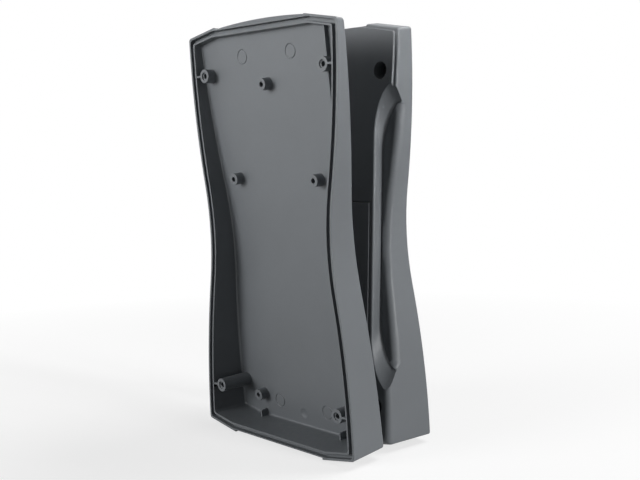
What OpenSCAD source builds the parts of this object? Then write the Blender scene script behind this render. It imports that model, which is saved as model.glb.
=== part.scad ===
// Handheld enclosure, opened: a front shell and a back shell standing one behind the other.
// Each shell is drawn in its own frame: X across, Z along the case, rim plane at Y = 0, depth towards +Y.

/* [Case outline] */
// Width of the case across its corners
case_w = 110; // [100:1:125]
// Length of the case between the flats of its two ends
case_l = 208.8; // [190:0.2:230]
// How far each side draws in at the waist
waist_depth = 9.2; // [4:0.2:13]
// Radius of the hollow of the waist
waist_r = 140; // [100:5:200]
// Width of the flat middle of each end
end_flat_w = 71.8; // [60:0.2:80]
// Fall of each end towards the corners, for each unit across
corner_fall = 0.178; // [0.1:0.002:0.25]
// Radius of the four corners
corner_r = 1.6; // [0.6:0.1:3]
// Width of the panel recess in each end
panel_w = 66.6; // [50:0.2:70]
// Depth of the panel recess below the flat of each end
panel_depth = 0.5; // [0.2:0.1:0.8]
// Height of the arch of each end above the edges of its panel recess
crown_h = 1.4; // [0.8:0.05:2.5]

/* [Rim] */
// Thickness of the lip outside the seal groove
lip_t = 1.2; // [1:0.1:2]
// Width of the seal groove
groove_w = 2; // [1.4:0.1:2.6]
// Depth of the seal groove
groove_depth = 2.6; // [1.8:0.1:3]
// Thickness of the tongue inside the seal groove
tongue_t = 1; // [0.8:0.1:2]
// Height of the back shell's ridge that enters the seal groove
ridge_h = 1.6; // [0.8:0.1:1.7]
// Clearance beside the ridge in the seal groove
ridge_gap = 0.2; // [0.1:0.05:0.3]

/* [Front shell] */
// Depth of the front shell at its middle
front_depth = 14.35; // [13:0.05:20]
// Depth gained for each unit down the front shell
front_slope = 0.0787; // [0.05:0.0001:0.08]
// Thickness of the front face
front_floor = 2.4; // [1.6:0.1:3]
// Radius of the outer edge of the front face
front_edge_r = 0.9; // [0.5:0.1:2]
// Radius where the inner walls meet the floor, at the middle of the front shell
floor_r = 0.8; // [0.4:0.1:3]
// How far the front face draws in from the rim at its ends
front_side_in = 1.7; // [0.5:0.1:2.2]
// How far the front face stands out from the rim at the waist
front_waist_out = 0.8; // [0:0.1:1]
// Draft of the front shell's inner sides, for each unit of depth
inner_draft = 0.14; // [0.02:0.005:0.16]
// Draft of the front shell's ends, for each unit of depth
front_end_draft = 0.035; // [0.01:0.001:0.04]
// Thickness of the arched edge left between the panel recesses and the front face
panel_edge = 3; // [2.6:0.1:4]

/* [Back shell] */
// Depth of the back shell at its middle
back_depth = 19.25; // [18:0.05:26]
// Depth gained for each unit down the back shell
back_slope = 0.0965; // [0.06:0.0005:0.1]
// Thickness of the back shell's walls
back_wall = 2.4; // [1.6:0.1:3]
// Height of the step around the upper half of the back face
face_step = 1.2; // [0.4:0.1:1.4]
// Width of the ledge outside that step, along the sides
ledge_w = 1.2; // [0.8:0.1:2.4]
// Width of the ledge outside that step, along the end
ledge_end_w = 0.5; // [0.3:0.1:2.4]
// Width of the rounding at the outer edge of the ledge
ledge_round_w = 0.7; // [0.4:0.05:1.2]
// Depth of the rounding at the outer edge of the ledge
ledge_round_d = 1.9; // [0.4:0.05:2.4]
// Radius of the edge around the lower half of the back face
low_edge_r = 3; // [1:0.1:3.2]
// Draft of the back shell's ends, for each unit of depth
back_end_draft = 0.061; // [0.02:0.001:0.08]
// Draft of the back shell's sides, for each unit of depth
side_draft = 0.063; // [0.02:0.001:0.08]

/* [Finger steps] */
// Distance of each finger step from the middle of the case
step_x = 40.9; // [40:0.1:41.4]
// Depth of the finger steps below the back face, at their inner walls
step_depth = 6; // [5:0.1:7]
// Depth of the finger steps below the back face, at their outer edges
step_lip = 5.2; // [3:0.1:5.6]
// Length of the finger steps on the back face
step_l = 150.4; // [130:0.4:152]
// Height of the middle of the finger steps above the middle of the case
step_z = 1.2; // [-2:0.1:2]
// Length of the straight middle of the finger steps
step_straight = 100; // [80:1:110]
// How far the inner walls slant towards the middle of the finger steps as they go down
step_run = 9.5; // [6:0.5:14]
// Lean of the finger steps' inner walls
step_lean = 0.5; // [0:0.1:1]
// Radius of the outer edge of the finger steps
step_edge_r = 3.6; // [1:0.1:4]
// Radius of the edge between the back face and the finger steps
step_top_r = 0.9; // [0.3:0.1:0.9]

/* [Screw bosses] */
// Distance between the case screws across the case
screw_w = 88; // [86:0.5:90]
// Distance between the case screws along the case
screw_l = 162.8; // [160:0.2:168]
// Diameter of the front shell's corner bosses
boss_d = 7; // [6:0.1:8]
// Diameter of the bosses' pilot bores
pilot_d = 2.5; // [2:0.1:2.8]
// Diameter of the mouths of the bosses' bores
mouth_d = 3.9; // [3:0.1:4.5]
// Depth of the mouths of the bosses' bores
mouth_depth = 0.8; // [0.4:0.1:2]
// Distance of the bosses' ends below the rim
boss_drop = 0.3; // [0.2:0.1:1]
// Thickness of the ribs that tie the bosses to the side walls
rib_t = 1; // [0.8:0.1:2]
// Diameter of the screw wells in the back shell
well_d = 8.4; // [7:0.1:9]
// Wall around the screw wells
well_wall = 1.5; // [1:0.1:1.7]
// Thickness of the shoulder under each screw head
shoulder_t = 3.4; // [2:0.1:4]
// Diameter of the screw holes through the shoulders
screw_hole_d = 3.4; // [3.2:0.1:4]

/* [Case screws] */
// Diameter of the screw heads
head_d = 5.8; // [5:0.1:6.6]
// Height of the screw heads
head_h = 2.2; // [1.6:0.1:3]
// Diameter of the screw shanks
shank_d = 2.9; // [2.4:0.1:3]
// Length of the screw shanks
shank_l = 8; // [6:0.5:10]
// Width of the cross recess in the screw heads
cross_w = 0.9; // [0.6:0.1:1.2]
// Depth of the cross recess in the screw heads
cross_depth = 1.2; // [0.6:0.1:1.5]

/* [Board stand-offs] */
// Diameter of the stand-offs
post_d = 6; // [5:0.1:7]
// Diameter of the stand-offs' bores
post_bore_d = 2.5; // [2:0.1:3]
// Height of the stand-offs above the floor
post_h = 4.9; // [4:0.1:5]
// Distance between the paired stand-offs across the case
post_w = 60; // [40:0.5:64]
// Height of the top stand-off above the middle of the case
post_top_z = 75.2; // [60:0.2:80]
// Height of the middle stand-offs above the middle of the case
post_mid_z = 28.7; // [10:0.2:40]
// Distance of the low stand-offs below the middle of the case
post_low_z = 87; // [70:0.2:90]
// Width of the two board stops near the low end
stop_w = 1.2; // [0.8:0.1:5]
// Thickness of the board stops
stop_t = 2.2; // [1.5:0.1:3]
// Height of the board stops above the floor
stop_h = 4.4; // [3:0.1:8]

/* [Mould marks] */
// Diameter of the round marks on the floor
mark_d = 7.4; // [5:0.1:9]
// Width of the line of each round mark
mark_line = 0.5; // [0.3:0.05:0.8]
// Depth of the round marks
mark_depth = 0.35; // [0.1:0.05:0.5]
// Distance between the round marks across the case
mark_w = 36; // [30:0.5:44]
// Distance of the round marks from the middle of the case
mark_z = 89.2; // [86:0.2:92]
// Diameter of the dish between the low round marks
dish_d = 6.4; // [2:0.1:8]
// Depth of the dish
dish_depth = 0.6; // [0.2:0.05:0.8]

/* [Battery door] */
// Width of the door
door_w = 76.4; // [70:0.2:76.8]
// Height of the door's upper edge above the middle of the case
door_top_z = 18; // [10:0.5:24]
// Length of the door
door_l = 103; // [90:1:106]
// Depth of the door below the back face
door_t = 2; // [1.6:0.1:2.4]
// How far the door stands proud of the back face
door_proud = 0.4; // [0.1:0.05:0.6]
// Gap around the door's edges
door_gap = 0.4; // [0.3:0.05:0.6]
// Gap under the door
door_lift = 0.2; // [0.1:0.05:0.3]
// Travel of the door down the back face
door_travel = 10; // [6:0.5:10]
// Width of the shelf under each side of the door
shelf_w = 3.6; // [2.5:0.1:4.5]
// Length of the hooks that reach under the skin above the door
hook_l = 4.5; // [3:0.1:5]
// Width of each hook
hook_w = 14; // [8:0.5:20]
// Thickness of the hooks and of the door's side rails
hook_t = 1.5; // [1:0.1:2]
// Height of the door's side rails under its plate
rail_h = 4; // [2:0.1:6]
// Thickness of the battery well's walls
bay_wall = 1.8; // [1.2:0.1:2]

/* [Arrangement] */
// Distance between the rim planes of the two shells
rim_gap = 55.5; // [53:0.5:80]
// Sideways offset of the front shell from the back shell
stagger = 3.6; // [0:0.1:10]

/* [Hidden] */
$fn = 48;
side_steps = 16;
corner_steps = 4;
crown_steps = 8;
edge_steps = 3;
low_edge_steps = 5;
step_turns = 5;
step_stations = 8;
over = 1;
far = 40;
// Slight bow of the flat ends, which keeps the rows of their closing faces apart
end_bow = 0.03;

half_w = case_w / 2;
flat_x = end_flat_w / 2;
flat_z = case_l / 2;
slant = sqrt(1 + corner_fall * corner_fall);
tip_x = panel_w / 2;
tip_z = flat_z + corner_fall * (flat_x - tip_x);
crown_r = (tip_x * tip_x + crown_h * crown_h) / (2 * crown_h);
panel_z = flat_z - panel_depth;
rim_t = lip_t + groove_w + tongue_t;

// The side of the outline: a hollow arc at the waist that turns into a full arc at each end
side_len = flat_z - corner_fall * (half_w - flat_x);
turn = 2 * atan(waist_depth / side_len);
end_r = side_len / sin(turn) - waist_r;
turn_z = waist_r * sin(turn);

function swell(z) =
    let (a = abs(z))
    a < turn_z ? waist_r - sqrt(waist_r * waist_r - a * a)
    : a < side_len ? waist_depth - end_r + sqrt(end_r * end_r - (side_len - a) * (side_len - a))
    : waist_depth;

function side_x(z) = half_w - waist_depth + swell(z);

// Height of the centre of the corner arc, with the outline drawn in by t
function corner_z(t) =
    flat_z - corner_fall * (half_w - t - corner_r - flat_x) - (t + corner_r) * slant;

function crown_z(x) = tip_z + crown_h - crown_r + sqrt(crown_r * crown_r - x * x);

function side_and_corner(t) = concat(
    [for (i = [0 : side_steps]) let (z = corner_z(t) * i / side_steps) [side_x(z) - t, z]],
    [for (i = [1 : corner_steps])
        let (a = (90 - atan(corner_fall)) * i / corner_steps)
        [half_w - t - corner_r + corner_r * cos(a), corner_z(t) + corner_r * sin(a)]]);

// One quarter of the outline with arched ends
function crowned_quarter() = concat(
    side_and_corner(0),
    [for (i = [crown_steps : -1 : 0]) let (x = tip_x * i / crown_steps) [x, crown_z(x)]]);

// One quarter of the outline with flat ends, drawn in by t
function flat_quarter(t) = concat(
    side_and_corner(t),
    [[flat_x - t * (slant - 1) / corner_fall, flat_z - t], [0, flat_z - t + end_bow]]);

// The whole outline from its first quarter, in order around the case
function whole(q) =
    let (n = len(q))
    concat(q,
        [for (i = [n - 2 : -1 : 0]) [-q[i][0], q[i][1]]],
        [for (i = [1 : n - 1]) [-q[i][0], -q[i][1]]],
        [for (i = [n - 2 : -1 : 1]) [q[i][0], -q[i][1]]]);

// Each taper lists the draft of the ends, the draft of the sides, and how far the sides draw in
// at the ends and stand out at the waist where they reach the face.
front_taper = [front_end_draft, 0, front_side_in, front_waist_out];
inner_taper = [front_end_draft, inner_draft, 0, 0];
back_taper = [back_end_draft, side_draft, 0, 0];

// An outline laid drop short of the face, drawn in by the taper and by edge_in, and by end_in at its ends.
// With a radius r that grows with the depth, it is the line at angle a of a rounded edge.
function face_ring(outline, t, drop, edge_in, depth, slope, taper, r = 0, a = 90, end_in = 0) =
    [for (p = outline)
        let (
            full = depth - slope * p[1],
            grown = r * full / depth,
            short = drop + grown * (1 - sin(a)),
            in = edge_in + grown * (1 - cos(a)),
            d = full - short,
            k = swell(p[1]) / waist_depth,
            s = taper[1] * d * k + (taper[2] * k - taper[3] * (1 - k)) * d / full + in,
            x = abs(p[1]) <= corner_z(t) ? p[0] - sign(p[0]) * s : p[0] * (1 - s / (half_w - t)),
            z = p[1] * (1 - (taper[0] * d + in + end_in) / tip_z))
        [x, depth - slope * z - short, z]];

function level_ring(outline, y) = [for (p = outline) [p[0], y, p[1]]];

// Faces between neighbouring rings of n points
function loft_sides(n, m) =
    [for (j = [0 : m - 2], i = [0 : n - 1])
        let (a = j * n + i, b = j * n + (i + 1) % n)
        each [[a, b, b + n], [a, b + n, a + n]]];

// Faces that close a ring of n points, in rows from its right half to its left half
function row_cap(n) =
    [for (k = [0 : n / 2 - 1])
        let (
            r0 = (n / 4 - k + n) % n,
            r1 = (n / 4 - k - 1 + n) % n,
            l0 = (n / 4 + k) % n,
            l1 = (n / 4 + k + 1) % n)
        each concat(k < n / 2 - 1 ? [[r0, r1, l1]] : [], k > 0 ? [[r0, l1, l0]] : [])];

function flip(faces) = [for (f = faces) [f[2], f[1], f[0]]];

function shift(faces, by) = [for (f = faces) [for (i = f) i + by]];

// Solid through rings of the case outline
module loft(rings) {
    n = len(rings[0]);
    m = len(rings);
    cap = row_cap(n);
    polyhedron([for (r = rings) each r], concat(loft_sides(n, m), cap, shift(flip(cap), (m - 1) * n)));
}

// Prism of an outline in X and Z, between two depths
module depth_prism(outline, y0, y1) {
    translate([0, y1, 0])
    rotate([90, 0, 0])
    linear_extrude(y1 - y0)
    polygon(outline);
}

// Prism across the case of a profile in Y and Z
module cross_prism(profile, x0, x1) {
    translate([x0, 0, 0])
    rotate([90, 0, 90])
    linear_extrude(x1 - x0)
    polygon(profile);
}

// Round bar along the depth at x, z
module depth_rod(x, z, y0, y1, d) {
    translate([x, y0, z])
    rotate([-90, 0, 0])
    cylinder(h = y1 - y0, d = d);
}

module four_screws() {
    for (sx = [-1, 1], sz = [-1, 1])
        translate([sx * screw_w / 2, 0, sz * screw_l / 2])
        children();
}

// Front shell
front_tilt = atan(front_slope);
post_places = [
    [0, post_top_z],
    [-post_w / 2, post_mid_z],
    [post_w / 2, post_mid_z],
    [-post_w / 2, -post_low_z],
    [post_w / 2, -post_low_z]];
mark_places = [for (sx = [-1, 1], sz = [-1, 1]) [sx * mark_w / 2, sz * mark_z]];
dish_z = mark_z + mark_d / 2;
dish_r = (dish_d * dish_d / 4 + dish_depth * dish_depth) / (2 * dish_depth);
front_inner_z = flat_z - rim_t;

function front_face_y(z) = front_depth - front_slope * z;
function floor_y(z) = front_face_y(z) - front_floor;

// Stands what follows on the floor at x, z, square to the floor
module on_floor(x, z) {
    translate([x, floor_y(z), z])
    rotate([90 + front_tilt, 0, 0])
    children();
}

module front_outside() {
    outline = whole(crowned_quarter());
    edge = [for (i = [0 : edge_steps])
        let (a = 90 * i / edge_steps)
        face_ring(outline, 0, front_edge_r * (1 - sin(a)), front_edge_r * (1 - cos(a)),
            front_depth, front_slope, front_taper)];
    loft(concat([level_ring(outline, 0)], edge));
}

module front_inside() {
    outline = whole(flat_quarter(rim_t));
    edge = [for (i = [0 : edge_steps])
        face_ring(outline, rim_t, front_floor, 0, front_depth, front_slope, inner_taper,
            floor_r, 90 * i / edge_steps)];
    loft(concat([level_ring(outline, -over), level_ring(outline, 0)], edge));
}

module seal_groove() {
    difference() {
        depth_prism(whole(flat_quarter(lip_t)), -over, groove_depth);
        depth_prism(whole(flat_quarter(lip_t + groove_w)), -2 * over, groove_depth + over);
    }
}

module front_bosses() {
    for (sx = [-1, 1], sz = [-1, 1]) {
        z = sz * screw_l / 2;
        x = sx * screw_w / 2;
        y1 = floor_y(z) + front_floor / 2;
        wall_x = side_x(z) - rim_t / 2;
        depth_rod(x, z, boss_drop, y1, boss_d);
        translate([sx > 0 ? x : -wall_x, boss_drop, z - rib_t / 2])
        cube([wall_x - screw_w / 2, y1 - boss_drop, rib_t]);
    }
}

module front_boss_bores() {
    for (sx = [-1, 1], sz = [-1, 1]) {
        z = sz * screw_l / 2;
        x = sx * screw_w / 2;
        depth_rod(x, z, -over, floor_y(z), pilot_d);
        depth_rod(x, z, -over, boss_drop + mouth_depth, mouth_d);
    }
}

module board_posts() {
    for (p = post_places)
        on_floor(p[0], p[1])
        translate([0, 0, -front_floor / 2])
        cylinder(h = post_h + front_floor / 2, d = post_d);
    for (sx = [-1, 1])
        on_floor(sx * post_w / 2, -front_inner_z + stop_t)
        translate([-stop_w / 2, -stop_t, -front_floor / 2])
        cube([stop_w, 2 * stop_t, stop_h + front_floor / 2]);
}

module board_post_bores() {
    for (p = post_places)
        on_floor(p[0], p[1])
        cylinder(h = post_h + over, d = post_bore_d);
}

module mould_marks() {
    for (p = mark_places)
        on_floor(p[0], p[1])
        difference() {
            translate([0, 0, -mark_depth])
            cylinder(h = mark_depth + over, d = mark_d);
            translate([0, 0, -2 * mark_depth])
            cylinder(h = 2 * mark_depth + 2 * over, d = mark_d - 2 * mark_line);
        }
    on_floor(0, -dish_z)
    intersection() {
        translate([0, 0, dish_r - dish_depth])
        sphere(dish_r);
        translate([0, 0, -2 * dish_depth])
        cylinder(h = 2 * dish_depth + over, d = dish_d + mark_line);
    }
}

module front_panel_recesses() {
    for (sz = [-1, 1]) {
        z1 = sz * (panel_z + far);
        deep = front_face_y(sz * panel_z) - panel_edge;
        far_deep = front_face_y(z1) - panel_edge;
        z0 = sz * (panel_z - front_end_draft * deep);
        cross_prism([[-over, sz * panel_z], [0, sz * panel_z], [deep, z0], [far_deep, z1], [-over, z1]],
            -tip_x, tip_x);
    }
}

module front_part() {
    color([0.30, 0.31, 0.33])
    difference() {
        union() {
            difference() {
                front_outside();
                front_inside();
            }
            front_bosses();
            board_posts();
        }
        seal_groove();
        front_panel_recesses();
        front_boss_bores();
        board_post_bores();
        mould_marks();
    }
}

// Back shell
door_slot_w = door_w + 2 * door_gap;
door_slot_top = door_top_z + door_gap;
door_low_z = door_top_z - door_l;
door_seat = door_t + door_lift;
bay_w = door_slot_w - 2 * shelf_w;
bay_top = door_slot_top + hook_l + door_gap;
bay_low = door_low_z + door_travel;
bay_floor = bay_wall;
column_d = well_d + 2 * well_wall;
end_room_z = flat_z - rim_t - back_end_draft * back_depth - back_wall;
end_room_w = 2 * (half_w - rim_t - side_draft * back_depth);
top_room_z = step_z + step_l / 2 + back_wall;
low_room_z = step_z - step_l / 2 - back_wall - bay_wall;

function back_y(z) = back_depth - back_slope * z;

// Profile in Y and Z from a level depth y0 to drop short of the back face
function under_back(z0, z1, y0, drop) =
    [[y0, z0], [back_y(z0) - drop, z0], [back_y(z1) - drop, z1], [y0, z1]];

// Profile in Y and Z between two depths below the back face
function along_back(z0, z1, low, high) =
    [[back_y(z0) - low, z0], [back_y(z0) - high, z0], [back_y(z1) - high, z1], [back_y(z1) - low, z1]];

// Lines of the edge around the back face, each as its drop below the face, its way in from the wall,
// and how much further in it lies at the end
ledge_more = ledge_end_w - ledge_w;
upper_edge = concat(
    [for (i = [0 : edge_steps])
        let (a = 90 * i / edge_steps)
        [face_step + ledge_round_d * (1 - sin(a)), ledge_round_w * (1 - cos(a)), 0]],
    [[face_step, ledge_round_w + ledge_w, ledge_more],
        [0, ledge_round_w + ledge_w + face_step / 6, ledge_more]]);
lower_edge = [for (i = [0 : low_edge_steps])
    let (a = 90 * i / low_edge_steps)
    [low_edge_r * (1 - sin(a)), low_edge_r * (1 - cos(a)), 0]];

function back_ring(outline, e) =
    face_ring(outline, 0, e[0], e[1], back_depth, back_slope, back_taper, end_in = e[2]);

// The edge changes at the waist, where the finger steps cut it away
module back_outside() {
    outline = whole(crowned_quarter());
    edge = [for (k = [0 : low_edge_steps])
        let (
            upper = back_ring(outline, upper_edge[k]),
            lower = back_ring(outline, lower_edge[k]))
        [for (i = [0 : len(outline) - 1]) outline[i][1] > 0 ? upper[i] : lower[i]]];
    loft(concat([level_ring(outline, 0)], edge));
}

// Hollow under the finger steps, over the whole outline
module back_low_hollow() {
    outline = whole(flat_quarter(rim_t));
    loft([
        level_ring(outline, -over),
        level_ring(outline, 0),
        face_ring(outline, rim_t, step_depth + back_wall, 0, back_depth, back_slope, back_taper)]);
}

module back_hollows() {
    back_low_hollow();
    cross_prism(under_back(bay_top + bay_wall, end_room_z, -over, back_wall),
        -step_x + back_wall, step_x - back_wall);
    cross_prism(under_back(top_room_z, end_room_z, -over, back_wall), -end_room_w / 2, end_room_w / 2);
    cross_prism(under_back(-end_room_z, low_room_z, -over, door_seat + back_wall),
        -end_room_w / 2, end_room_w / 2);
}

module battery_bay_walls() {
    cross_prism(under_back(bay_low - bay_wall, bay_top + bay_wall, 0, back_wall / 2),
        -bay_w / 2 - bay_wall, bay_w / 2 + bay_wall);
}

module battery_bay() {
    cross_prism(under_back(bay_low, door_slot_top, bay_floor, -over), -bay_w / 2, bay_w / 2);
    cross_prism(under_back(bay_low, bay_top, bay_floor, back_wall), -bay_w / 2, bay_w / 2);
    cross_prism(along_back(-far - flat_z, door_slot_top, door_seat, -far),
        -door_slot_w / 2, door_slot_w / 2);
}

module rim_ridge() {
    difference() {
        depth_prism(whole(flat_quarter(lip_t + ridge_gap)), -ridge_h, over);
        depth_prism(whole(flat_quarter(lip_t + groove_w - ridge_gap)), -ridge_h - over, 2 * over);
    }
}

// How far the top of a finger step's inner wall stands out at a distance from the step's middle
function step_in(from) =
    let (a = min(1, max(0, from - step_straight / 2) / (step_l / 2 - step_straight / 2)))
    (half_w - step_x) * (1 - sqrt(1 - a * a));

// Cross-section of the cutter of a finger step at z.
// Its inner wall slants towards the middle as it goes down, so it becomes a ramp at each end.
// Its outer edge is rounded, and the rounding ends just outside the wall.
function step_section(z) =
    let (
        wall = [for (k = [0 : step_turns])
            let (
                u = k / step_turns,
                out = step_in(abs(z - step_z) + step_run * u))
            [step_x + out + step_lean * u, back_y(z) - step_depth * u, z]],
        top_x = wall[0][0],
        low_x = wall[step_turns][0],
        fall = atan(step_depth / step_turns / (wall[1][0] - top_x)),
        top_c = top_x - step_top_r * tan(fall / 2),
        lip_y = back_y(z) - step_lip,
        wall_x = side_x(z) - side_draft * lip_y * swell(z) / waist_depth,
        r = min(step_edge_r, max(0.1, 0.9 * (wall_x - low_x))),
        edge_x = max(low_x + 0.05, wall_x - 0.95 * r))
    concat(
        [[top_c - 2 * step_top_r, back_y(z) + over, z]],
        [for (i = [0 : edge_steps])
            let (
                a = fall * max(1, i) / edge_steps,
                k = i > 0 ? 1 : -1)
            [top_c + k * step_top_r * sin(a), back_y(z) - k * step_top_r * (1 - cos(a)), z]],
        [for (k = [1 : step_turns]) wall[k]],
        [for (i = [0 : edge_steps])
            let (a = 90 * i / edge_steps)
            [edge_x + r * sin(a), lip_y - r * (1 - cos(a)), z]],
        [[half_w + 2 * over, lip_y - r, z], [half_w + 2 * over, back_y(z) + over, z]]);

module finger_step() {
    end = step_l / 2;
    dz = step_run / step_turns;
    turns = ceil((end - step_straight / 2 + step_run) / dz);
    straight = end - dz * turns;
    half = concat(
        [for (i = [0 : step_stations - 1]) straight * i / step_stations],
        [for (i = [turns : -1 : 0]) end - dz * i]);
    stations = concat(
        [for (i = [len(half) - 1 : -1 : 1]) step_z + half[i]],
        [for (from = half) step_z - from]);
    sections = [for (z = stations) step_section(z)];
    n = len(sections[0]);
    m = len(sections);
    fan = [for (i = [0 : n - 3]) [n - 1, i + 1, i]];
    // The faces are split along the slant of the inner wall, which turns round at the middle
    sides = [for (j = [0 : m - 2], i = [0 : n - 1])
        let (a = j * n + i, b = j * n + (i + 1) % n)
        each stations[j] > step_z
            ? [[a, b, b + n], [a, b + n, a + n]]
            : [[a, b, a + n], [b, b + n, a + n]]];
    polyhedron([for (s = sections) each s],
        concat(sides, fan, shift(flip(fan), (m - 1) * n)));
}

module back_panel_recesses() {
    for (sz = [-1, 1])
        mirror([0, 0, sz > 0 ? 0 : 1])
        translate([-tip_x, 0, panel_z])
        rotate([-atan(back_end_draft), 0, 0])
        translate([0, -far, 0])
        cube([panel_w, 3 * far, far]);
}

module back_part() {
    color([0.30, 0.31, 0.33])
    difference() {
        union() {
            difference() {
                back_outside();
                back_hollows();
            }
            battery_bay_walls();
            rim_ridge();
            for (sx = [-1, 1], z = [-screw_l / 2, screw_l / 2])
                depth_rod(sx * screw_w / 2, z, 0, back_y(z) - back_wall / 2, column_d);
        }
        battery_bay();
        finger_step();
        mirror([1, 0, 0]) finger_step();
        back_panel_recesses();
        four_screws() {
            depth_rod(0, 0, shoulder_t, far, well_d);
            depth_rod(0, 0, -over, far, screw_hole_d);
        }
    }
}

// Battery door
hook_low = back_wall + door_lift;

module door_part() {
    color([0.29, 0.30, 0.32])
    union() {
        cross_prism(along_back(door_low_z, door_top_z, door_t, -door_proud), -door_w / 2, door_w / 2);
        for (sx = [-1, 1]) {
            hook_x = sx * bay_w / 4;
            cross_prism(along_back(door_top_z - hook_l, door_top_z + hook_l, hook_low + hook_t, hook_low),
                hook_x - hook_w / 2, hook_x + hook_w / 2);
            cross_prism(
                along_back(door_top_z - hook_l, door_top_z - door_gap, hook_low + hook_t, door_t / 2),
                hook_x - hook_w / 2, hook_x + hook_w / 2);
            rail_x = bay_w / 2 - door_gap - hook_t;
            rail_low_z = bay_low + door_travel + door_gap;
            cross_prism(along_back(rail_low_z, door_top_z - door_gap, door_t + rail_h, door_t / 2),
                sx > 0 ? rail_x : -rail_x - hook_t, sx > 0 ? rail_x + hook_t : -rail_x);
        }
    }
}

// Case screws, seated on the shoulders in the back shell
module case_screw() {
    difference() {
        union() {
            depth_rod(0, 0, shoulder_t, shoulder_t + head_h, head_d);
            depth_rod(0, 0, shoulder_t - shank_l, shoulder_t + head_h / 2, shank_d);
        }
        for (a = [0, 90])
            rotate([0, a, 0])
            translate([-head_d / 3, shoulder_t + head_h - cross_depth, -cross_w / 2])
            cube([2 * head_d / 3, cross_depth + over, cross_w]);
    }
}

module screws_part() {
    color([0.10, 0.10, 0.11])
    four_screws()
    case_screw();
}

// Each shell stands on the floor by itself.
// The front shell rests on the edges of its panel recess and on the arch behind them.
belly_z = tip_z + crown_h;
belly_y = front_face_y(-belly_z) - panel_edge;
front_lean = atan((belly_z * (1 - front_end_draft * belly_y / tip_z) - tip_z) / belly_y);
// The back shell rests on the drafted edges of its panel recess.
back_lean = atan(back_end_draft);
front_reach = tip_z * sin(front_lean);
ridge_reach = ridge_h * cos(back_lean) + (flat_z - lip_t - ridge_gap) * sin(back_lean);
screw_reach = (shank_l - shoulder_t) * cos(back_lean) + (screw_l + shank_d) / 2 * sin(back_lean);
back_reach = max(ridge_reach, screw_reach);
front_place_y = (front_reach - rim_gap - back_reach) / 2;

module stand_front() {
    translate([stagger / 2, front_place_y, tip_z * cos(front_lean)])
    rotate([front_lean, 0, 0])
    children();
}

module stand_back() {
    translate([-stagger / 2, front_place_y + rim_gap, tip_z * cos(back_lean)])
    rotate([back_lean, 0, 0])
    mirror([0, 1, 0])
    children();
}

module front_shell() { stand_front() front_part(); }
module back_shell() { stand_back() back_part(); }
module battery_door() { stand_back() door_part(); }
module case_screws() { stand_back() screws_part(); }

front_shell();
back_shell();
battery_door();
case_screws();
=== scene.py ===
import math

import bpy
from mathutils import Euler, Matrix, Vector


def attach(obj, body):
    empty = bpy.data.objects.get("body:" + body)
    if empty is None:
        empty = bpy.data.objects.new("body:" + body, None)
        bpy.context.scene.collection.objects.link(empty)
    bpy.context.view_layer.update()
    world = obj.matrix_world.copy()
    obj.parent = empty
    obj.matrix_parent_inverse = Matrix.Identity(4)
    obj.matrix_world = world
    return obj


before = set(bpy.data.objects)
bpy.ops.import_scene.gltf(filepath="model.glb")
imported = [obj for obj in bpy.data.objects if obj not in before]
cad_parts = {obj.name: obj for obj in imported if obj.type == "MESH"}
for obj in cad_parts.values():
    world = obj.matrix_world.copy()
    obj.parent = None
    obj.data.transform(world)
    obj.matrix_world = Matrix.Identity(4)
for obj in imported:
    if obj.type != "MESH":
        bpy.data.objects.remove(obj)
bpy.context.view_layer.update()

scene = bpy.context.scene


# Camera at the photograph's viewing angle. Lengths are in metres unless a name says otherwise.

CAMERA_PLACE = (0.3637166, -0.3344136, 0.1489239)
CAMERA_TURN_DEG = (84.5203, 0.9301, 46.7399)
LENS_MM = 54.34
SENSOR_W_MM = 36.0
CLIP_START = 0.01
CLIP_END = 20.0

camera_data = bpy.data.cameras.new("camera")
camera_data.sensor_width = SENSOR_W_MM
camera_data.lens = LENS_MM
camera_data.clip_start = CLIP_START
camera_data.clip_end = CLIP_END
camera = bpy.data.objects.new("camera", camera_data)
camera.location = CAMERA_PLACE
camera.rotation_euler = Euler([math.radians(turn) for turn in CAMERA_TURN_DEG], "XYZ")
scene.collection.objects.link(camera)
scene.camera = camera


# Materials.

# Scales of the noise in the plastic, in features to the metre
CLOUD_SCALE = 26.0
PATCH_SCALE = 420.0
PIT_SCALE = 1900.0
GRAIN_SCALE = 3200.0
PIT_SMOOTHNESS = 0.6
PIT_DEPTH = 0.00005
PIT_STRENGTH = 0.35
GRAIN_DEPTH = 0.00004
GRAIN_STRENGTH = 0.3
SOFT_EDGE_R = 0.0003
SOFT_EDGE_SAMPLES = 6
PLASTIC_IOR = 1.5
PLASTIC_SPECULAR = 0.45

# Scales of the noise in the blackened steel, in features to the metre
OIL_SCALE = 700.0
LINE_SCALE = 5200.0
LINE_DEPTH = 0.00002
LINE_STRENGTH = 0.2
BLACK_LOW = (0.018, 0.018, 0.02)
BLACK_HIGH = (0.042, 0.039, 0.038)
BLACK_ROUGH = (0.34, 0.55)
BLACK_METALLIC = 0.7


def new_material(name):
    """A node material with only its Principled shader and output, and an object coordinate."""
    material = bpy.data.materials.new(name)
    material.use_nodes = True
    nodes = material.node_tree.nodes
    links = material.node_tree.links
    shader = nodes["Principled BSDF"]
    coordinate = nodes.new("ShaderNodeTexCoord")
    return material, nodes, links, shader, coordinate.outputs["Object"]


def noise(nodes, links, place, scale, detail, roughness):
    """Noise with its scale given in features to the metre."""
    node = nodes.new("ShaderNodeTexNoise")
    node.inputs["Scale"].default_value = scale
    node.inputs["Detail"].default_value = detail
    node.inputs["Roughness"].default_value = roughness
    links.new(place, node.inputs["Vector"])
    return node.outputs["Fac"]


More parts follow.
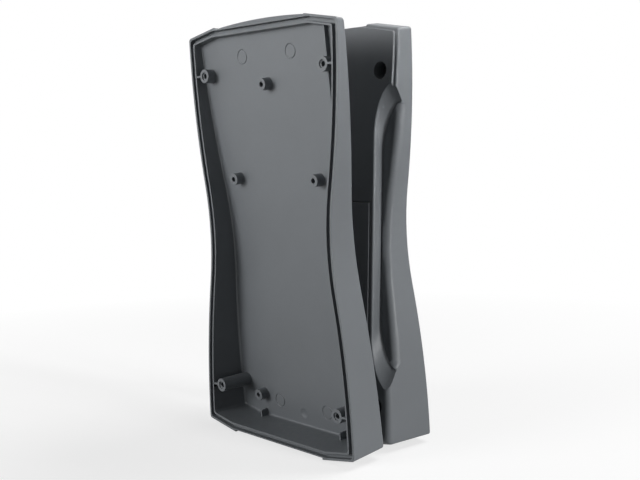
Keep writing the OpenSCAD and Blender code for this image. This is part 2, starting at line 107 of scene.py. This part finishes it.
def ramp(nodes, links, value, low, high, low_colour, high_colour):
    """A colour ramp between two stops."""
    node = nodes.new("ShaderNodeValToRGB")
    node.color_ramp.elements[0].position = low
    node.color_ramp.elements[0].color = (*low_colour, 1.0)
    node.color_ramp.elements[1].position = high
    node.color_ramp.elements[1].color = (*high_colour, 1.0)
    links.new(value, node.inputs["Fac"])
    return node.outputs["Color"]


def spread(nodes, links, value, low, high, to_low, to_high):
    """A value mapped from one range to another, and kept inside it."""
    node = nodes.new("ShaderNodeMapRange")
    node.inputs["From Min"].default_value = low
    node.inputs["From Max"].default_value = high
    node.inputs["To Min"].default_value = to_low
    node.inputs["To Max"].default_value = to_high
    links.new(value, node.inputs["Value"])
    return node.outputs["Result"]


def bump(nodes, links, height, strength, distance, before=None):
    """A bump of a height in metres, laid over the one before it."""
    node = nodes.new("ShaderNodeBump")
    node.inputs["Strength"].default_value = strength
    node.inputs["Distance"].default_value = distance
    links.new(height, node.inputs["Height"])
    if before is not None:
        links.new(before, node.inputs["Normal"])
    return node.outputs["Normal"]


def grained_plastic(name, low_colour, high_colour, rough_low, rough_high):
    """Moulded plastic with soft edges, an eroded-mould grain, faint flow clouds and uneven gloss."""
    material, nodes, links, shader, place = new_material(name)
    clouds = noise(nodes, links, place, CLOUD_SCALE, 4.0, 0.55)
    links.new(
        ramp(nodes, links, clouds, 0.32, 0.68, low_colour, high_colour),
        shader.inputs["Base Color"],
    )
    patches = noise(nodes, links, place, PATCH_SCALE, 5.0, 0.65)
    links.new(
        spread(nodes, links, patches, 0.3, 0.7, rough_low, rough_high),
        shader.inputs["Roughness"],
    )
    pits = nodes.new("ShaderNodeTexVoronoi")
    pits.feature = "SMOOTH_F1"
    pits.inputs["Scale"].default_value = PIT_SCALE
    pits.inputs["Smoothness"].default_value = PIT_SMOOTHNESS
    links.new(place, pits.inputs["Vector"])
    grain = noise(nodes, links, place, GRAIN_SCALE, 3.0, 0.6)
    edges = nodes.new("ShaderNodeBevel")
    edges.samples = SOFT_EDGE_SAMPLES
    edges.inputs["Radius"].default_value = SOFT_EDGE_R
    pitted = bump(
        nodes, links, pits.outputs["Distance"], PIT_STRENGTH, PIT_DEPTH, edges.outputs["Normal"]
    )
    grained = bump(nodes, links, grain, GRAIN_STRENGTH, GRAIN_DEPTH, pitted)
    links.new(grained, shader.inputs["Normal"])
    shader.inputs["IOR"].default_value = PLASTIC_IOR
    shader.inputs["Specular IOR Level"].default_value = PLASTIC_SPECULAR
    return material


def blackened_steel(name):
    """Blackened steel with fine lines, oiled and dry patches, and a little brown in the black."""
    material, nodes, links, shader, place = new_material(name)
    patches = noise(nodes, links, place, OIL_SCALE, 4.0, 0.6)
    links.new(
        ramp(nodes, links, patches, 0.35, 0.65, BLACK_LOW, BLACK_HIGH),
        shader.inputs["Base Color"],
    )
    links.new(
        spread(nodes, links, patches, 0.3, 0.7, *BLACK_ROUGH), shader.inputs["Roughness"]
    )
    lines = noise(nodes, links, place, LINE_SCALE, 2.0, 0.5)
    links.new(
        bump(nodes, links, lines, LINE_STRENGTH, LINE_DEPTH), shader.inputs["Normal"]
    )
    shader.inputs["Metallic"].default_value = BLACK_METALLIC
    return material


shell_plastic = grained_plastic(
    "shell_plastic", (0.135, 0.146, 0.157), (0.147, 0.159, 0.171), 0.38, 0.5
)
door_plastic = grained_plastic(
    "door_plastic", (0.132, 0.143, 0.154), (0.144, 0.156, 0.168), 0.46, 0.6
)
screw_steel = blackened_steel("screw_steel")


# The CAD nodes, with softened edges.

SHARP_FROM_DEG = 40.0
BEVEL_FROM_DEG = 20.0
FLAT_WITHIN_DEG = 0.4
WELD_REACH = 0.000002
BEVEL_SEGMENTS = 2


def smooth_group(name, sharp_from):
    """A node group that shades faces smooth, except over edges sharper than an angle."""
    group = bpy.data.node_groups.new(name, "GeometryNodeTree")
    for way in ("INPUT", "OUTPUT"):
        group.interface.new_socket("Geometry", in_out=way, socket_type="NodeSocketGeometry")
    start = group.nodes.new("NodeGroupInput")
    end = group.nodes.new("NodeGroupOutput")
    faces = group.nodes.new("GeometryNodeSetShadeSmooth")
    group.links.new(start.outputs[0], faces.inputs["Geometry"])
    angle = group.nodes.new("GeometryNodeInputMeshEdgeAngle")
    sharper = group.nodes.new("FunctionNodeCompare")
    sharper.inputs["B"].default_value = math.radians(sharp_from)
    group.links.new(angle.outputs["Unsigned Angle"], sharper.inputs["A"])
    edges = group.nodes.new("GeometryNodeSetShadeSmooth")
    edges.domain = "EDGE"
    edges.inputs["Shade Smooth"].default_value = False
    group.links.new(faces.outputs[0], edges.inputs["Geometry"])
    group.links.new(sharper.outputs[0], edges.inputs["Selection"])
    group.links.new(edges.outputs[0], end.inputs[0])
    return group


smooth_by_angle = smooth_group("smooth_by_angle", SHARP_FROM_DEG)


def bevel_edges(piece, width):
    """Rounds a piece's edges by a width, and returns the modifier."""
    bevel = piece.modifiers.new("bevel", "BEVEL")
    bevel.width = width
    bevel.segments = BEVEL_SEGMENTS
    return bevel


def shade_smooth(piece):
    """Shades a piece smooth between its sharp edges."""
    smooth = piece.modifiers.new("smooth", "NODES")
    smooth.node_group = smooth_by_angle
    normals = piece.modifiers.new("normals", "WEIGHTED_NORMAL")
    normals.keep_sharp = True


def dress(node, material, edge):
    """Gives a CAD node its material, rounds its sharp edges by a width, and shades it smooth."""
    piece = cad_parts[node]
    piece.data.materials.clear()
    piece.data.materials.append(material)
    weld = piece.modifiers.new("weld", "WELD")
    weld.merge_threshold = WELD_REACH
    if edge > 0.0:
        faces = piece.modifiers.new("faces", "DECIMATE")
        faces.decimate_type = "DISSOLVE"
        faces.angle_limit = math.radians(FLAT_WITHIN_DEG)
        bevel = bevel_edges(piece, edge)
        bevel.limit_method = "ANGLE"
        bevel.angle_limit = math.radians(BEVEL_FROM_DEG)
        bevel.use_clamp_overlap = False
    shade_smooth(piece)


# The back shell's edges are softened by its material alone, because its facets are too small to bevel.
dress("front_shell", shell_plastic, 0.0002)
dress("back_shell", shell_plastic, 0.0)
dress("battery_door", door_plastic, 0.00016)
dress("case_screws", screw_steel, 0.00008)


# A low rib on the front shell's floor, from the upper right boss to the end wall, and below the boss.

RIB_LEFT = 0.0453
RIB_RIGHT = 0.0463
RIB_EDGE = 0.00015
# Stations along each run, each with the rib's foot and its top in Y and Z
RIB_RUNS = (
    (
        ((-0.029712, 0.204295), (-0.032271, 0.204204)),
        ((-0.027931, 0.188748), (-0.030490, 0.188657)),
    ),
    (
        ((-0.027383, 0.183965), (-0.029942, 0.183874)),
        ((-0.025670, 0.169016), (-0.028229, 0.168925)),
        ((-0.025214, 0.165030), (-0.025414, 0.165023)),
    ),
)


def rib_mesh(name):
    """A mesh of the rib's runs, each closed at its ends."""
    points = []
    faces = []
    for run in RIB_RUNS:
        first = len(points)
        for foot, top in run:
            points += [
                (RIB_LEFT, *foot), (RIB_LEFT, *top), (RIB_RIGHT, *top), (RIB_RIGHT, *foot)
            ]
        for a in range(first, len(points) - 4, 4):
            for i in range(4):
                j = (i + 1) % 4
                faces.append((a + i, a + j, a + 4 + j, a + 4 + i))
        last = len(points) - 4
        faces.append((first + 3, first + 2, first + 1, first))
        faces.append((last, last + 1, last + 2, last + 3))
    mesh = bpy.data.meshes.new(name)
    mesh.from_pydata(points, [], faces)
    mesh.update()
    return mesh


rib = bpy.data.objects.new("front_rib", rib_mesh("front_rib"))
rib.data.materials.append(shell_plastic)
scene.collection.objects.link(rib)
bevel_edges(rib, RIB_EDGE)
shade_smooth(rib)
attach(rib, "case")


# Floor, backdrop and light.

FLOOR_HALF = 6.0
# The floor's own shade near the object, and the light that brings it up to white
FLOOR_SHADE = 0.3
FLOOR_GLOW = 0.7
# The floor as the light sees it
FLOOR_BOUNCE = 0.22
FADE_FROM = 0.12
FADE_TO = 0.5
WHITE = 1.0
AMBIENT = 0.04

floor_mesh = bpy.data.meshes.new("floor")
floor_mesh.from_pydata(
    [
        (-FLOOR_HALF, -FLOOR_HALF, 0.0),
        (FLOOR_HALF, -FLOOR_HALF, 0.0),
        (FLOOR_HALF, FLOOR_HALF, 0.0),
        (-FLOOR_HALF, FLOOR_HALF, 0.0),
    ],
    [],
    [(0, 1, 2, 3)],
)
floor = bpy.data.objects.new("floor", floor_mesh)
scene.collection.objects.link(floor)
floor_paper = bpy.data.materials.new("floor_paper")
floor_paper.use_nodes = True
floor_nodes = floor_paper.node_tree.nodes
floor_links = floor_paper.node_tree.links
floor_nodes.clear()


def diffuse(nodes, level):
    """A matt white or grey surface."""
    node = nodes.new("ShaderNodeBsdfDiffuse")
    node.inputs["Color"].default_value = (level, level, level, 1.0)
    return node.outputs[0]


def glow(nodes, kind, strength):
    """White light of a given strength."""
    node = nodes.new(kind)
    node.inputs["Color"].default_value = (1.0, 1.0, 1.0, 1.0)
    node.inputs["Strength"].default_value = strength
    return node.outputs[0]


def background_rays(nodes, links):
    """One for the rays that show the background, and nought for those that carry light."""
    rays = nodes.new("ShaderNodeLightPath")
    total = rays.outputs["Is Camera Ray"]
    for name in ("Is Glossy Ray", "Is Transmission Ray"):
        larger = nodes.new("ShaderNodeMath")
        larger.operation = "MAXIMUM"
        links.new(total, larger.inputs[0])
        links.new(rays.outputs[name], larger.inputs[1])
        total = larger.outputs[0]
    return total


def choose(nodes, links, factor, first, second):
    """The first shader where the factor is nought, and the second where it is one."""
    node = nodes.new("ShaderNodeMixShader")
    links.new(factor, node.inputs["Fac"])
    links.new(first, node.inputs[1])
    links.new(second, node.inputs[2])
    return node.outputs[0]


# Near the object the floor takes its shadow, and further out it fades to plain white.
floor_place = floor_nodes.new("ShaderNodeTexCoord")
floor_reach = floor_nodes.new("ShaderNodeVectorMath")
floor_reach.operation = "LENGTH"
floor_links.new(floor_place.outputs["Object"], floor_reach.inputs[0])
floor_fade = spread(
    floor_nodes, floor_links, floor_reach.outputs["Value"], FADE_FROM, FADE_TO, 0.0, 1.0
)
shaded = floor_nodes.new("ShaderNodeAddShader")
floor_links.new(diffuse(floor_nodes, FLOOR_SHADE), shaded.inputs[0])
floor_links.new(glow(floor_nodes, "ShaderNodeEmission", FLOOR_GLOW), shaded.inputs[1])
floor_seen = choose(
    floor_nodes,
    floor_links,
    floor_fade,
    shaded.outputs[0],
    glow(floor_nodes, "ShaderNodeEmission", WHITE),
)
floor_out = floor_nodes.new("ShaderNodeOutputMaterial")
floor_links.new(
    choose(
        floor_nodes,
        floor_links,
        background_rays(floor_nodes, floor_links),
        diffuse(floor_nodes, FLOOR_BOUNCE),
        floor_seen,
    ),
    floor_out.inputs["Surface"],
)
floor_mesh.materials.append(floor_paper)

world = bpy.data.worlds.new("studio")
scene.world = world
world.use_nodes = True
world_nodes = world.node_tree.nodes
world_links = world.node_tree.links
world_nodes.clear()
world_out = world_nodes.new("ShaderNodeOutputWorld")
world_links.new(
    choose(
        world_nodes,
        world_links,
        background_rays(world_nodes, world_links),
        glow(world_nodes, "ShaderNodeBackground", AMBIENT),
        glow(world_nodes, "ShaderNodeBackground", WHITE),
    ),
    world_out.inputs["Surface"],
)


def softbox(name, place, aim, width, height, power, spread_deg=180.0):
    """A rectangular studio lamp that points at a place, with its power in watts."""
    lamp_data = bpy.data.lights.new(name, "AREA")
    lamp_data.shape = "RECTANGLE"
    lamp_data.size = width
    lamp_data.size_y = height
    lamp_data.energy = power
    lamp_data.spread = math.radians(spread_deg)
    lamp = bpy.data.objects.new(name, lamp_data)
    lamp.location = place
    way = Vector(aim) - Vector(place)
    lamp.rotation_euler = way.to_track_quat("-Z", "Y").to_euler()
    scene.collection.objects.link(lamp)


softbox("key", (-0.22, -0.72, 0.38), (0.0, 0.0, 0.26), 0.5, 0.55, 0.86, 50.0)
softbox("side", (1.1, 0.07, 0.26), (0.0, 0.0, 0.105), 0.2, 0.8, 9.9)
softbox("high", (0.7, 0.2, 0.62), (0.05, 0.06, 0.26), 0.12, 0.12, 0.08, 20.0)
softbox("top", (0.2, 0.45, 0.9), (0.0, 0.0, 0.15), 0.5, 0.5, 5.6)

scene.view_settings.view_transform = "Standard"
